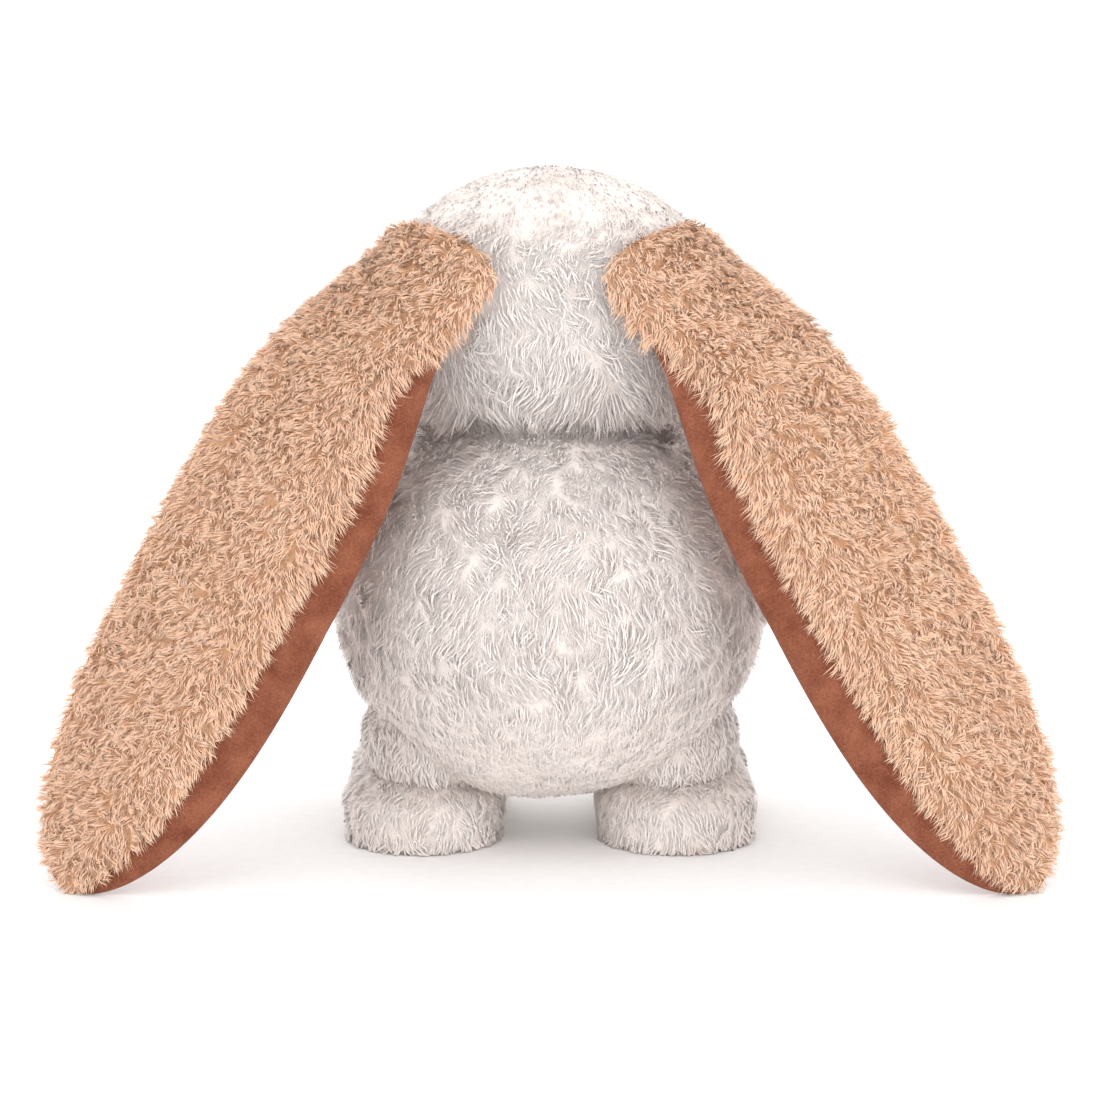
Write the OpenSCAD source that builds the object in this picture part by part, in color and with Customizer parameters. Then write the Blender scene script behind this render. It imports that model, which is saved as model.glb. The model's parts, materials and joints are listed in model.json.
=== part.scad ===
// Standing lop-eared rabbit, a stuffed soft toy.
// It faces -Y and stands on its two soles at z = 0. The long ears hang from the upper back of
// the head, lean outwards and stand on their tips behind the feet.
// Every cloth cover is drawn as thick as its backing and pile together.

/* [Cloth] */
// Thickness of the long plush, backing and pile together
plush_t = 5; // [3:0.5:7]
// Thickness of the short-napped ear lining
lining_t = 2.5; // [1:0.5:3.5]
// Gap between pieces that move on each other
move_gap = 0.6; // [0.4:0.1:2]

/* [Body] */
// Width and depth of the body
body_d = 195; // [160:1:240]
// Height of the belly below the widest girth
belly_h = 95; // [80:1:115]
// Height that the body would have above the widest girth if it closed over
chest_h = 88; // [78:1:105]
// Height of the belly's lowest point above the floor
belly_lift = 17; // [10:1:25]

/* [Head] */
// Width of the head
head_w = 158; // [130:1:190]
// Height and depth of the head
head_h = 132; // [110:1:158]
// Depth that the head's round underside sinks below the neck seam
head_sink = 20; // [14:1:26]
// Radius of the muzzle
muzzle_r = 30; // [22:1:36]
// Distance from the head's middle to the muzzle's middle
muzzle_out = 45; // [38:1:50]
// Drop of the muzzle's middle below the head's middle
muzzle_drop = 14; // [8:1:20]

/* [Face] */
// Diameter of the safety eyes
eye_d = 15; // [9:0.5:20]
// Distance between the eyes' middles
eye_gap = 66; // [50:1:80]
// Height of the eyes above the head's middle
eye_rise = 8; // [0:1:20]
// Diameter of the posts of the eyes and nose
post_d = 4; // [3:0.5:6]
// Length of the posts behind the cloth's face
post_len = 16; // [12:1:22]
// Diameter of the lock washers
washer_d = 16; // [12:1:22]
// Thickness of the lock washers
washer_t = 1.6; // [1:0.2:3]
// Width of the nose
nose_w = 17; // [12:1:24]
// Height of the nose
nose_h = 11; // [8:1:16]
// Thickness of the mouth's thread
thread_d = 1.6; // [1:0.2:2.4]
// Angle below the muzzle's level line at which the mouth's stitches meet
mouth_drop = 20; // [10:1:30]
// Angle that each side stitch of the mouth turns through
mouth_sweep = 34; // [20:1:50]

/* [Ears] */
// Widest width of an ear
ear_w = 96; // [70:1:116]
// Width of an ear at its seam on the head
ear_root_w = 56; // [40:1:66]
// Thickness of an ear at its fullest
ear_t = 22; // [18:1:28]
// Thickness of an ear at its seam on the head
ear_root_t = 13; // [12:1:16]
// Distance of the ear's tip outside the body's side
ear_spread = 106; // [80:1:130]
// Distance of the ear's tip behind the body's middle
ear_back = 92; // [80:0.5:120]
// Width of the lining that turns round onto the ear's back, as an angle of its section
lining_turn = 46; // [20:1:60]

/* [Legs] */
// Width of a foot
foot_w = 75; // [60:1:84]
// Distance of the toes in front of the body's middle
toe_out = 102.3; // [85:0.1:115]
// Height of a foot
foot_h = 41; // [34:1:48]
// Distance from the middle plane to a foot's middle
foot_out = 56; // [50:1:62]
// Distance of the heel behind the body's middle
heel_back = 40; // [30:1:52]
// Diameter of a haunch
haunch_d = 70; // [60:1:80]
// Height of a haunch's middle
haunch_z = 45; // [40:1:52]
// Thickness of the sole cloth
sole_t = 2.5; // [1.5:0.5:4]
// Thickness of the stiffener above the sole
board_t = 1.5; // [1:0.5:3]
// Width of stuffing round the stiffener
board_rim = 3; // [2:1:6]

/* [Arms] */
// Diameter of an arm
arm_d = 36; // [28:1:40]
// Angle round the body from its middle that an arm covers
arm_span = 28; // [22:1:40]
// Height of the shoulders above the body's widest girth, as an angle from its middle
shoulder_angle = 30; // [24:1:36]
// Angle of an arm from the front
arm_side = 45; // [35:1:55]

/* [Pellet pouch] */
// Diameter of the pellet pouch
pouch_d = 96; // [70:1:120]
// Height of the pellet pouch
pouch_h = 34; // [24:1:40]
// Thickness of the pouch's cotton
pouch_t = 1.2; // [0.8:0.2:2]

/* [Hidden] */

// Colours
white_plush = "#ece2de";
tan_plush = "#dcb08f";
rust_lining = "#96593f";
filling_white = "#f4f2ee";
pouch_cotton = "#d8cdb8";
pellet_grey = "#b9bcc0";
board_grey = "#8a8a86";
sole_cloth = "#e2d2c6";
eye_black = "#1c1512";
nose_rose = "#b97a6a";
washer_white = "#e8e8e4";
thread_brown = "#6d4335";

// Smoothness: facets of a full circle, and steps of a drawn curve
round_n = 96;
curve_n = 20;
$fn = round_n;

// Rows and columns of an ear's surface
rows_upper = 24;
rows_lower = 10;
cols_plush = 10;
cols_lining = 12;

// Body and head: radii and heights of their middles
body_r = body_d / 2;
body_z = belly_lift + belly_h;
head_a = head_w / 2;
head_r = head_h / 2;

// The neck seam lies where the head's underside, as deep as head_sink, meets the chest
neck_r = sqrt(head_r * head_r - pow(head_r - head_sink, 2));
neck_z = body_z + chest_h * sqrt(1 - pow(neck_r / body_r, 2));
head_z = neck_z + head_r - head_sink;

far = 400;  // longer than anything that it cuts

function unit(v) = v / norm(v);
function clamp01(x) = min(max(x, 0), 1);
function ease(x) = let (c = clamp01(x)) c * c * (3 - 2 * c);

// ---- Body -----------------------------------------------------------------------------

// Half outline of the body, inset by k: a half ellipse below and another above the girth
module body_outline(k) {
    polygon(concat(
        [for (i = [0:curve_n]) let (q = -90 + 90 * i / curve_n)
            [(body_r - k) * cos(q), body_z + (belly_h - k) * sin(q)]],
        [for (i = [1:curve_n]) let (q = 90 * i / curve_n)
            [(body_r - k) * cos(q), body_z + (chest_h - k) * sin(q)]]
    ));
}

// The stuffed body up to the neck seam
module body_solid(k = 0) {
    rotate_extrude() intersection() {
        body_outline(k);
        square([far, neck_z]);
    }
}

module body_cover() {
    color(white_plush) difference() {
        body_solid();
        rotate_extrude() intersection() {
            body_outline(plush_t);
            square([far, far]);
        }
    }
}

// The pouch lies on the inside of the belly's lowest part
pouch_floor = belly_lift + plush_t;

module pouch_outline(k) {
    r = pouch_d / 2 - k;
    intersection() {
        body_outline(plush_t + k);
        translate([0, pouch_floor]) square([r, pouch_h - k]);
    }
}

module body_filling() {
    color(filling_white) difference() {
        body_solid(plush_t);
        rotate_extrude() pouch_outline(0);
    }
}

module pellet_pouch() {
    color(pouch_cotton) rotate_extrude() difference() {
        pouch_outline(0);
        pouch_outline(pouch_t);
    }
}

module pellets() {
    color(pellet_grey) rotate_extrude() pouch_outline(pouch_t);
}

// ---- Legs -----------------------------------------------------------------------------

foot_r = foot_w / 2;
foot_mid = 0.45 * foot_h;      // height of a foot's widest line
foot_under = 1.55 * foot_mid;  // how far the foot's round would reach below that line
toe_y = foot_r - toe_out;
heel_y = heel_back - foot_r;
haunch_r = haunch_d / 2;
haunch_in = 4;    // how far a haunch lies inside the foot's line and in front of the heel
haunch_x = foot_out - haunch_in;
haunch_y = heel_y - haunch_in;

// Half width of the flat under a foot at height z, inset by k
function flat_r(z, k) = (foot_r - k) * sqrt(1 - pow((foot_mid - z) / (foot_under - k), 2));

// Half section of a foot, inset by k, standing at height z
module foot_outline(k, z) {
    low = -asin((foot_mid - z) / (foot_under - k));
    polygon(concat(
        [[0, z]],
        [for (i = [0:curve_n / 2]) let (q = low * (1 - 2 * i / curve_n))
            [(foot_r - k) * cos(q), foot_mid + (foot_under - k) * sin(q)]],
        [for (i = [1:curve_n]) let (q = 90 * i / curve_n)
            [(foot_r - k) * cos(q), foot_mid + (foot_h - foot_mid - k) * sin(q)]]
    ));
}

// Carries a half section round the heel, along the foot and round the toe
module along_foot() {
    translate([foot_out, heel_y, 0]) rotate_extrude(angle = 180) children();
    translate([foot_out, toe_y, 0]) rotate([0, 0, 180]) rotate_extrude(angle = 180) children();
    for (side = [0, 1]) translate([foot_out, heel_y, 0]) mirror([side, 0, 0])
        rotate([90, 0, 0]) linear_extrude(heel_y - toe_y) children();
}

module leg_solid(k, z) {
    along_foot() foot_outline(k, z);
    translate([haunch_x, haunch_y, haunch_z]) sphere(haunch_r - k);
}

module sole_plate(r, z, t) {
    along_foot() translate([0, z]) square([r, t]);
}

module leg_cover() {
    color(white_plush) difference() {
        leg_solid(0, 0);
        leg_solid(plush_t, sole_t);
        sole_plate(flat_r(0, 0), 0, sole_t);
        body_solid();
    }
}

module leg_filling() {
    color(filling_white) difference() {
        leg_solid(plush_t, sole_t);
        sole_plate(flat_r(sole_t, plush_t) - board_rim, sole_t, board_t);
        body_solid();
    }
}

module sole() {
    color(sole_cloth) sole_plate(flat_r(0, 0), 0, sole_t);
}

module sole_board() {
    color(board_grey) sole_plate(flat_r(sole_t, plush_t) - board_rim, sole_t, board_t);
}

// ---- Arms -----------------------------------------------------------------------------

arm_r = arm_d / 2;
end_lip = 0.05;   // how much less a round end's radius is than the arm's
end_root = 2;     // how far a round end runs on inside the arm
arm_way = max(body_r, belly_h, chest_h) + arm_r + move_gap;  // from the body's middle

module dome(r) {
    rotate_extrude() intersection() {
        circle(r);
        translate([0, -end_root]) square([r, r + end_root]);
    }
}

// An arm, inset by k, bends round the body from its shoulder down to its paw
module arm_solid(k) {
    rotate([0, 0, arm_side - 90]) translate([0, 0, body_z]) rotate([90, 0, 0])
        rotate([0, 0, shoulder_angle - arm_span]) {
            rotate_extrude(angle = arm_span) translate([arm_way, 0]) circle(arm_r - k);
            for (end = [0, 1])
                rotate([0, 0, end * arm_span]) translate([arm_way, 0, 0])
                    rotate([90 - 180 * end, 0, 0]) dome(arm_r - end_lip - k);
        }
}

module arm_cover() {
    color(white_plush) difference() {
        arm_solid(0);
        arm_solid(plush_t);
    }
}

module arm_filling() {
    color(filling_white) arm_solid(plush_t);
}

// ---- Head -----------------------------------------------------------------------------

// Distance of the head's skin from its left-right axis at side distance x, inset by k
function head_at(x, k = 0) = (head_r - k) * sqrt(1 - pow(x / (head_a - k), 2));

// Half outline of the head along its left-right axis
module head_outline(k) {
    polygon([for (i = [0:2 * curve_n]) let (q = -90 + 90 * i / curve_n)
        [(head_r - k) * cos(q), (head_a - k) * sin(q)]
    ]);
}

module head_round(k) {
    translate([0, 0, head_z]) rotate([0, 90, 0]) rotate_extrude() head_outline(k);
}

// The head above a level plane that clears the neck seam
module above_neck() {
    intersection() {
        children();
        translate([-far / 2, -far / 2, neck_z + move_gap]) cube(far);
    }
}

module at_muzzle() {
    translate([0, -muzzle_out, head_z - muzzle_drop]) children();
}

// Eyes look out along the head's skin normal
eye_x = eye_gap / 2;
eye_y = -sqrt(pow(head_at(eye_x), 2) - eye_rise * eye_rise);
eye_normal = unit([
    eye_x / (head_a * head_a), eye_y / (head_r * head_r), eye_rise / (head_r * head_r)
]);
eye_turn = atan2(eye_normal.x, -eye_normal.y);
eye_tilt = asin(eye_normal.z);
eye_seat = 2.5;          // depth that the pile is pressed down under an eye
eye_dome = 0.36 * eye_d;  // height of an eye's dome
bore_gap = 0.1;

// Depth of a washer's face behind cloth that is round with radius r: its rim bears on the cloth
function washer_at(r) =
    r + bore_gap - sqrt(pow(r - plush_t, 2) - pow(washer_d / 2 + bore_gap, 2));

// Local +Z points out of the skin at the left eye
module at_eye() {
    translate([eye_x, eye_y, head_z + eye_rise]) rotate([0, 0, eye_turn])
        rotate([90 - eye_tilt, 0, 0]) children();
}

// The nose sits high on the front of the muzzle
nose_tilt = 32;
nose_seat = 2;
nose_round = nose_h / 4;
nose_bulge = 1.3 * nose_round;
nose_reach = norm([nose_w / 2 - nose_round, nose_h / 2 - nose_round]) + nose_round;
fine_n = 24;             // facets of the smallest rounds

// Angles of the mouth on the muzzle: the stitch's upper end, and what keeps stitches apart
mouth_high = nose_tilt - 16;
mouth_gap = 2;

module at_nose() {
    at_muzzle() rotate([90 - nose_tilt, 0, 0]) translate([0, 0, muzzle_r]) children();
}

// What a post and its head press out of the cloth
module post_space(seat_r, seat) {
    translate([0, 0, -post_len - 1]) cylinder(d = post_d + 2 * bore_gap, h = post_len + 2);
    translate([0, 0, -seat]) cylinder(r = seat_r, h = far / 4);
}

// What a washer presses out of the filling, up to the cloth
module washer_space(r) {
    translate([0, 0, -washer_at(r) - washer_t])
        cylinder(d = washer_d + 2 * bore_gap, h = washer_at(r) + washer_t);
}

module both_eyes() {
    for (side = [0, 1]) mirror([side, 0, 0]) at_eye() children();
}

// The muzzle's panel is let into the head's cover, and one filling fills both
module head_cover() {
    color(white_plush) above_neck() difference() {
        head_round(0);
        head_round(plush_t);
        at_muzzle() sphere(muzzle_r);
        both_eyes() post_space(eye_d / 2 + bore_gap, eye_seat);
    }
}

module muzzle_cover() {
    color(white_plush) above_neck() difference() {
        at_muzzle() sphere(muzzle_r);
        at_muzzle() sphere(muzzle_r - plush_t);
        head_round(plush_t);
        at_nose() post_space(nose_reach + bore_gap, nose_seat);
    }
}

module head_filling() {
    color(filling_white) above_neck() difference() {
        union() {
            head_round(plush_t);
            at_muzzle() sphere(muzzle_r - plush_t);
        }
        both_eyes() {
            post_space(eye_d / 2 + bore_gap, eye_seat);
            washer_space(head_r);
        }
        at_nose() {
            post_space(nose_reach + bore_gap, nose_seat);
            washer_space(muzzle_r);
        }
    }
}

// A post with barbs left out, its head a low dome
module eye() {
    dome_r = (pow(eye_d / 2, 2) + pow(eye_dome, 2)) / (2 * eye_dome);
    color(eye_black) at_eye() {
        translate([0, 0, -eye_seat]) intersection() {
            translate([0, 0, eye_dome - dome_r]) sphere(dome_r);
            cylinder(d = eye_d, h = far / 4);
        }
        translate([0, 0, -post_len]) cylinder(d = post_d, h = post_len - eye_seat);
    }
}

module lock_washer(r) {
    color(washer_white) translate([0, 0, -washer_at(r) - washer_t]) difference() {
        cylinder(d = washer_d, h = washer_t);
        translate([0, 0, -1]) cylinder(d = post_d, h = washer_t + 2);
    }
}

module eye_washer() {
    at_eye() lock_washer(head_r);
}

// A rounded triangle, wide above, on a post
module nose() {
    color(nose_rose) at_nose() {
        difference() {
            translate([0, 0, -nose_seat]) hull() {
                for (side = [-1, 1])
                    translate([side * (nose_w / 2 - nose_round), nose_h / 2 - nose_round, 0])
                        sphere(nose_round, $fn = fine_n);
                translate([0, nose_round - nose_h / 2, 0]) sphere(nose_round, $fn = fine_n);
                sphere(nose_bulge, $fn = fine_n);
            }
            translate([0, 0, -far - nose_seat]) cylinder(r = far, h = far);
        }
        translate([0, 0, -post_len]) cylinder(d = post_d, h = post_len - nose_seat);
    }
}

module nose_washer() {
    at_nose() lock_washer(muzzle_r);
}

// One bar of thread lying on the muzzle, along a great circle from angle a to angle b
module thread_bar(a, b) {
    rotate([0, 0, a]) rotate_extrude(angle = b - a)
        translate([muzzle_r + thread_d / 2, 0]) circle(d = thread_d, $fn = fine_n);
}

// A stitch down the muzzle's front, and one curving away to each side
module mouth_stitch() {
    color(thread_brown) at_muzzle() {
        rotate([0, -90, 0]) thread_bar(mouth_gap - mouth_drop - 90, mouth_high - 90);
        for (side = [0, 1]) mirror([side, 0, 0])
            rotate([mouth_drop, 0, 0]) thread_bar(mouth_gap - 90, mouth_sweep - 90);
    }
}

// ---- Ears -----------------------------------------------------------------------------

// The ear's middle line runs from its seam on the head, over the head's side, past the body
// and down to its tip on the floor: a cubic curve through two end points, led by two others
root_x = 50;
root_rise = 36;
root_y = sqrt(pow(head_at(root_x), 2) - root_rise * root_rise);
root_normal = unit([
    root_x / (head_a * head_a), root_y / (head_r * head_r), root_rise / (head_r * head_r)
]);
root_lift = ear_root_t / 2 + move_gap;
ear_root = [root_x, root_y, head_z + root_rise] + root_normal * root_lift;
lead_in = 2;                   // how far the first leading point lies inside the head's side
lead_way = [head_a - root_x - lead_in, 18, -46];  // from the seam to that point
follow_way = [26, -24, 22];    // from the corner of the girth to the second leading point
ear_lead = ear_root + lead_way;
ear_follow = [body_r, body_r, body_z] + follow_way;
ear_tip = [body_r + ear_spread, ear_back, 0];

// The way the plush side faces, at the seam and at the tip
root_face = [0.55, 0.60, 0.58];
tip_face = [0.30, 0.90, 0.25];

// Shares of the curve at which the ear is fullest, folds, is widest, and turns its lining back
full_at = 0.4;
fold_at = 0.6;
widest_at = 0.62;
turn_from = 0.16;
turn_over = 0.18;

// Powers that shape the ear's outline: its swell above the widest line and its round tip
swell_power = 1.3;
tip_power = 3.4;
tip_round = 0.53;

hinge_rise = 0.5;  // height of the fold line above the plush
core_min = 0.3;    // half width and half thickness that an inset ear keeps
tip_half_t = plush_t + 0.5;

function ear_mid(t, lift) = let (u = 1 - t)
    u * u * u * ear_root + 3 * u * u * t * ear_lead + 3 * u * t * t * ear_follow
    + t * t * t * (ear_tip + [0, 0, lift]);
function ear_along(t, lift) = let (u = 1 - t) unit(
    u * u * (ear_lead - ear_root) + 2 * u * t * (ear_follow - ear_lead)
    + t * t * (ear_tip + [0, 0, lift] - ear_follow));
function ear_facing(t, lift) = let (
    d = ear_along(t, lift),
    w = ease(2 * t),
    n = (1 - w) * root_face + w * tip_face)
    unit(n - (n * d) * d);
function ear_across(t, lift) = cross(ear_along(t, lift), ear_facing(t, lift));

// Half width: swells from the seam to the widest line, then rounds off to the tip
function ear_half_w(t) = t < widest_at
    ? ear_root_w / 2 + (ear_w - ear_root_w) / 2 * pow(sin(90 * t / widest_at), swell_power)
    : max(ear_w / 2 * pow(1 - pow((t - widest_at) / (1 - widest_at), tip_power), tip_round),
        plush_t);
// Half thickness: fills out down to the fold, then thins to the tip
function ear_half_t(t) = t < fold_at
    ? ear_root_t / 2 + (ear_t - ear_root_t) / 2 * ease(t / full_at)
    : ear_t / 2 - (ear_t / 2 - tip_half_t) * ease((t - fold_at) / (1 - fold_at));
// Angle round the section at which the plush ends: at the edge near the seam, then turned back
function seam_angle(t) = 180 - lining_turn * ease((t - turn_from) / turn_over);

// A point of the ear's surface at angle q round the section, inset by k
function ear_point(t, q, k, lift) =
    ear_mid(t, lift)
    + max(ear_half_w(t) - k, core_min) * cos(q) * ear_across(t, lift)
    + max(ear_half_t(t) - k, core_min) * sin(q) * ear_facing(t, lift);

function plush_angles(t) = [for (j = [0:cols_plush]) seam_angle(t) * j / cols_plush];
function lining_angles(t) =
    [for (j = [0:cols_lining]) seam_angle(t) + (360 - seam_angle(t)) * j / cols_lining];

// Shares of the curve at which rows lie; the last ones crowd towards the round tip
ear_curve = 300;   // about the length of the curve
cut = move_gap / 2 / ear_curve;
upper_rows = [for (i = [0:rows_upper]) (fold_at - cut) * i / rows_upper];
lower_rows = [for (i = [0:rows_lower])
    fold_at + cut + (1 - fold_at - cut) * sin(90 * i / rows_lower)];

// Height of the tip's middle at which the ear just stands on the floor
ear_stand = -min([for (t = lower_rows) for (q = lining_angles(t)) ear_point(t, q, 0, 0).z]);

function quad(a, b, c, d) = [[a, b, c], [a, c, d]];

// A strip of cloth: grid points outside, the same grid inset inside, closed all round
module strip(outside, inside) {
    n = len(outside);
    m = len(outside[0]);
    function o(i, j) = i * 2 * m + j;
    function p(i, j) = i * 2 * m + m + j;
    points = [for (i = [0:n - 1]) each concat(outside[i], inside[i])];
    faces = concat(
        [for (i = [0:n - 2]) for (j = [0:m - 2])
            each quad(o(i, j), o(i, j + 1), o(i + 1, j + 1), o(i + 1, j))],
        [for (i = [0:n - 2]) for (j = [0:m - 2])
            each quad(p(i, j), p(i + 1, j), p(i + 1, j + 1), p(i, j + 1))],
        [for (i = [0:n - 2]) each quad(o(i, 0), o(i + 1, 0), p(i + 1, 0), p(i, 0))],
        [for (i = [0:n - 2])
            each quad(o(i, m - 1), p(i, m - 1), p(i + 1, m - 1), o(i + 1, m - 1))],
        [for (j = [0:m - 2]) each quad(o(0, j), p(0, j), p(0, j + 1), o(0, j + 1))],
        [for (j = [0:m - 2])
            each quad(o(n - 1, j), o(n - 1, j + 1), p(n - 1, j + 1), p(n - 1, j))]
    );
    polyhedron(points, faces);
}

// A stuffed core: closed rings of points with a middle point at each end
module core(rings) {
    n = len(rings);
    m = len(rings[0]);
    even = [for (j = [1:m]) 1 / m];
    points = concat([for (ring = rings) each ring], [even * rings[0], even * rings[n - 1]]);
    faces = concat(
        [for (i = [0:n - 2]) for (j = [0:m - 1]) let (e = (j + 1) % m)
            each quad(i * m + j, i * m + e, (i + 1) * m + e, (i + 1) * m + j)],
        [for (j = [0:m - 1]) [n * m, (j + 1) % m, j]],
        [for (j = [0:m - 1]) [n * m + 1, (n - 1) * m + j, (n - 1) * m + (j + 1) % m]]
    );
    polyhedron(points, faces);
}

module ear_plush(rows) {
    color(tan_plush) strip(
        [for (t = rows) [for (q = plush_angles(t)) ear_point(t, q, 0, ear_stand)]],
        [for (t = rows) [for (q = plush_angles(t)) ear_point(t, q, plush_t, ear_stand)]]
    );
}

module ear_lining(rows) {
    color(rust_lining) strip(
        [for (t = rows) [for (q = lining_angles(t)) ear_point(t, q, 0, ear_stand)]],
        [for (t = rows) [for (q = lining_angles(t)) ear_point(t, q, lining_t, ear_stand)]]
    );
}

module ear_wadding(rows) {
    color(filling_white) core([for (t = rows) concat(
        [for (q = plush_angles(t)) ear_point(t, q, plush_t, ear_stand)],
        [for (q = lining_angles(t)) ear_point(t, q, lining_t, ear_stand)]
    )]);
}

wadding_rows = [for (i = [0:rows_lower - 1]) lower_rows[i]];

// ---- Left and right -------------------------------------------------------------------

module right() {
    mirror([1, 0, 0]) children();
}

// Places of the joints
echo(root_hinge = ear_root, root_axis = ear_across(0, ear_stand));
echo(fold_hinge = ear_mid(fold_at, ear_stand)
    + (ear_half_t(fold_at) + hinge_rise) * ear_facing(fold_at, ear_stand),
    fold_axis = ear_across(fold_at, ear_stand));
echo(neck_z = neck_z);
echo(shoulder_out = arm_way * cos(shoulder_angle),
    shoulder_z = body_z + arm_way * sin(shoulder_angle));

body_cover();
body_filling();
pellet_pouch();
pellets();
leg_cover();  // leg_cover_left
right() leg_cover();  // leg_cover_right
leg_filling();  // leg_filling_left
right() leg_filling();  // leg_filling_right
sole();  // sole_left
right() sole();  // sole_right
sole_board();  // sole_board_left
right() sole_board();  // sole_board_right
arm_cover();  // arm_cover_left
right() arm_cover();  // arm_cover_right
arm_filling();  // arm_filling_left
right() arm_filling();  // arm_filling_right
head_cover();
head_filling();
muzzle_cover();
eye();  // eye_left
right() eye();  // eye_right
eye_washer();  // eye_washer_left
right() eye_washer();  // eye_washer_right
nose();
nose_washer();
mouth_stitch();
ear_plush(upper_rows);  // ear_left_upper_plush
ear_lining(upper_rows);  // ear_left_upper_lining
ear_wadding(upper_rows);  // ear_left_upper_wadding
ear_plush(lower_rows);  // ear_left_lower_plush
ear_lining(lower_rows);  // ear_left_lower_lining
ear_wadding(wadding_rows);  // ear_left_lower_wadding
right() ear_plush(upper_rows);  // ear_right_upper_plush
right() ear_lining(upper_rows);  // ear_right_upper_lining
right() ear_wadding(upper_rows);  // ear_right_upper_wadding
right() ear_plush(lower_rows);  // ear_right_lower_plush
right() ear_lining(lower_rows);  // ear_right_lower_lining
right() ear_wadding(wadding_rows);  // ear_right_lower_wadding
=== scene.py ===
import json

import bpy
import numpy as np
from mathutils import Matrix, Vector


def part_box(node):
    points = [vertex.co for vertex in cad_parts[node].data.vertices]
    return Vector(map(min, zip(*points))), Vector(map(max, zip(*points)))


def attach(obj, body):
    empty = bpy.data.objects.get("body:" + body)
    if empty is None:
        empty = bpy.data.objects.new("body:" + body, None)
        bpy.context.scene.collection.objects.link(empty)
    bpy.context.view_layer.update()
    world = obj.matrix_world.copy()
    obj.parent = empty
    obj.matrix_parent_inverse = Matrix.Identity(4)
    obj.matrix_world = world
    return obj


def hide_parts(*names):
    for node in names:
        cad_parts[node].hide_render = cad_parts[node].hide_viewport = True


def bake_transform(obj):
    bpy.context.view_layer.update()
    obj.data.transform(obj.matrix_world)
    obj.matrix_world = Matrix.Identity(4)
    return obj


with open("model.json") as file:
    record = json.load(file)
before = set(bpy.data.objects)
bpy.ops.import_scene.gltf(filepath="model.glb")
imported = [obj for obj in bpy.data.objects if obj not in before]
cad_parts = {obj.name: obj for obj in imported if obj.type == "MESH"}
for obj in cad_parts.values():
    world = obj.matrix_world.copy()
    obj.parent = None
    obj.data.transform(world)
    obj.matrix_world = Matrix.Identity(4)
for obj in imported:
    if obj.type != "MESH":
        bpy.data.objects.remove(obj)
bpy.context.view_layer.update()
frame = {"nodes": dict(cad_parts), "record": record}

# ---- Sizes, in millimetres -------------------------------------------------------------

MM = 0.001
JOINTS = {joint["name"]: joint for joint in frame["record"]["behaviour"]["joints"]}

FLOOR_GAP = 0.3      # the pile's least height over the floor
PILE = 4.5           # depth of the pile under the outline that the fur's tips reach
BELLY_H = 95.0       # from the girth down to the belly's lowest point
CHEST_H = 88.0       # from the girth up to where the body would close
MUZZLE_R = 30.0
MUZZLE_OUT = 45.0
MUZZLE_DROP = 14.0
EAR_W = 96.0
EAR_ROOT_W = 56.0
EAR_T = 22.0
EAR_ROOT_T = 13.0
EAR_LEAD = (-52.0, 18.0, -46.0)  # from the seam and the head's half width to the first lead
EAR_FOLLOW = (26.0, -24.0, 22.0)  # from the body's side and middle to the second lead
EAR_TIP = (106.0, 92.0)          # outside the body's side, and behind its middle
LINING_TURN = 46.0               # degrees of an ear's section that the lining turns back
FOLD_AT = 0.6                    # where an ear folds, as a share of its curve
FOLD_HALF = 42.0                 # how far the bend reaches to either side of the fold
WIDEST_AT = 0.62
HAUNCH_R = 35.0
HAUNCH_IN = 4.0
FOOT_W = 75.0
SOLE_TOP = 2.7                   # just over the sole, which the lip goes round
ARM_D = 36.0
ARM_SPAN = 28.0
ARM_RISE = 30.0
ARM_SIDE = 45.0


def box_mm(node):
    """A CAD node's lowest and highest corners, in millimetres."""
    low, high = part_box(node)
    return np.array(low) / MM, np.array(high) / MM


body_low, body_high = box_mm("body_cover")
head_low, head_high = box_mm("head_cover")
foot_low, foot_high = box_mm("leg_cover_left")
body_r, neck_z = body_high[0], body_high[2]
body_z = body_low[2] + BELLY_H
head_a, head_r = head_high[0], head_high[1]
head_z = head_high[2] - head_r
ear_root = np.array(JOINTS["ear_left_lift"]["pos_m"]) / MM
ear_lead = ear_root + EAR_LEAD + (head_a, 0, 0)


# ---- Small helpers ---------------------------------------------------------------------

def unit(v):
    """Vectors scaled to length 1."""
    return v / np.maximum(np.linalg.norm(v, axis=-1, keepdims=True), 1e-9)


def ease(x):
    """0 below 0, 1 above 1, and 3x^2 - 2x^3 between."""
    x = np.clip(x, 0, 1)
    return x * x * (3 - 2 * x)


def ripple(points, size, seed, waves=7):
    """A smooth pattern of about -1 to 1: the sum of sines along random directions, with
    wavelengths near size, over the root of their number."""
    rng = np.random.default_rng(seed)
    k = unit(rng.normal(size=(waves, 3))) * (2 * np.pi / size) * rng.uniform(0.6, 1.5, (waves, 1))
    return np.sin(points @ k.T + rng.uniform(0, 2 * np.pi, waves)).sum(-1) / np.sqrt(waves)


def linear(hex_colour):
    """A colour given as sRGB hex, turned to linear light."""
    c = np.array([int(hex_colour[i:i + 2], 16) / 255 for i in (1, 3, 5)])
    c = np.where(c <= 0.04045, c / 12.92, ((c + 0.055) / 1.055) ** 2.4)
    return (*c.tolist(), 1.0)


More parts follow.
